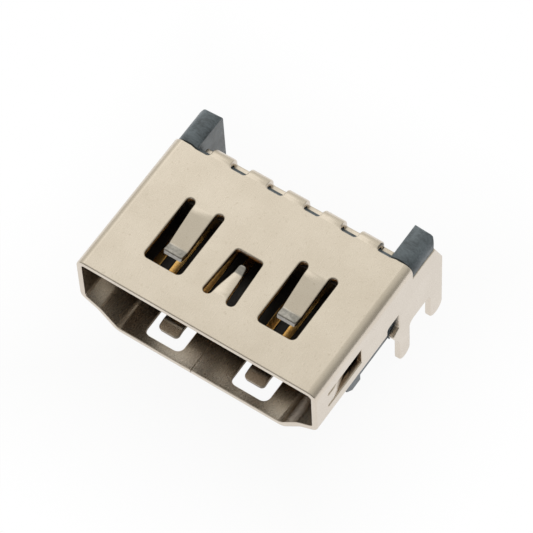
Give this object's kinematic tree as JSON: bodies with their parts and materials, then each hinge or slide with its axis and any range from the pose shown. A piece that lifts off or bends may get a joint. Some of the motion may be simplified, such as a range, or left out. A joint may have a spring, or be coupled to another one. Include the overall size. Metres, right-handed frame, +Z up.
{
  "type": "hdmi socket",
  "caption": "Right-angle board socket for digital video: a folded metal shell with contact springs around a moulded tongue that carries two rows of contacts.",
  "frame": {"origin": "middle of the housing's seat on the board's upper face", "axes": "+X across the mouth, to the right as seen from the mouth; +Y from the mouth to the rear; +Z up from the board"},
  "size_m": [0.0146, 0.0117, 0.0079],
  "materials": {
    "shell": "satin nickel plate",
    "housing": "matt moulded",
    "contact": "gold plate"
  },
  "bodies": {
    "root": {"shell": "shell", "housing": "housing", "contact_01": "contact", "contact_02": "contact", "contact_03": "contact", "contact_04": "contact", "contact_05": "contact", "contact_06": "contact", "contact_07": "contact", "contact_08": "contact", "contact_09": "contact", "contact_10": "contact", "contact_11": "contact", "contact_12": "contact", "contact_13": "contact", "contact_14": "contact", "contact_15": "contact", "contact_16": "contact", "contact_17": "contact", "contact_18": "contact", "contact_19": "contact"}
  },
  "joints": []
}
